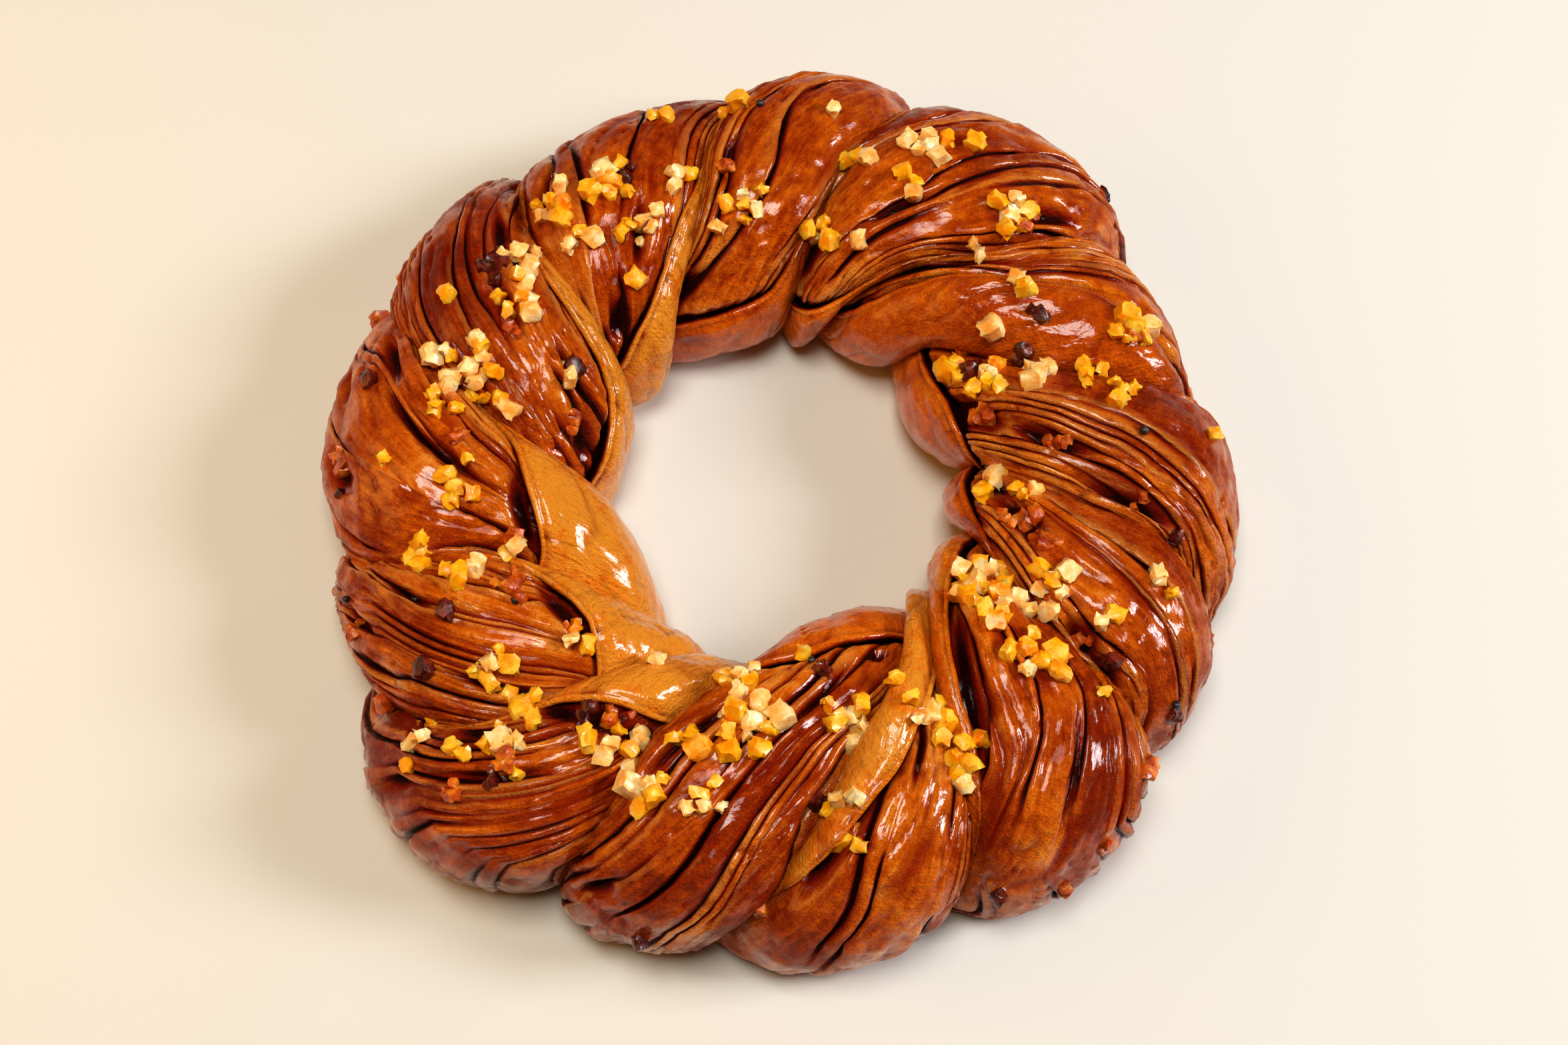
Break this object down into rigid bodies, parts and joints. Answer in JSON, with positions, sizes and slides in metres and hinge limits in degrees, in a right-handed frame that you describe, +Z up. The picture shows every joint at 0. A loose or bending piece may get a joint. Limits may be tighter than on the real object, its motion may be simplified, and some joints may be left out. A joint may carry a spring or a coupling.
{
  "type": "kringle",
  "caption": "Round twisted ring of laminated sweet dough with fanned ridged lobes, a glazed crust, bits of candied peel and an open middle, flat underneath",
  "frame": {"origin": "middle of the footprint, on the flat underside", "axes": "+Z up through the hole, +Y to the far side, +X to the right of someone facing +Y"},
  "size_m": [0.2924, 0.3032, 0.0623],
  "materials": {
    "glazed_crust": "baked dough under a thin clear syrup glaze"
  },
  "bodies": {
    "root": {"twisted_ring": "glazed_crust"}
  },
  "joints": []
}
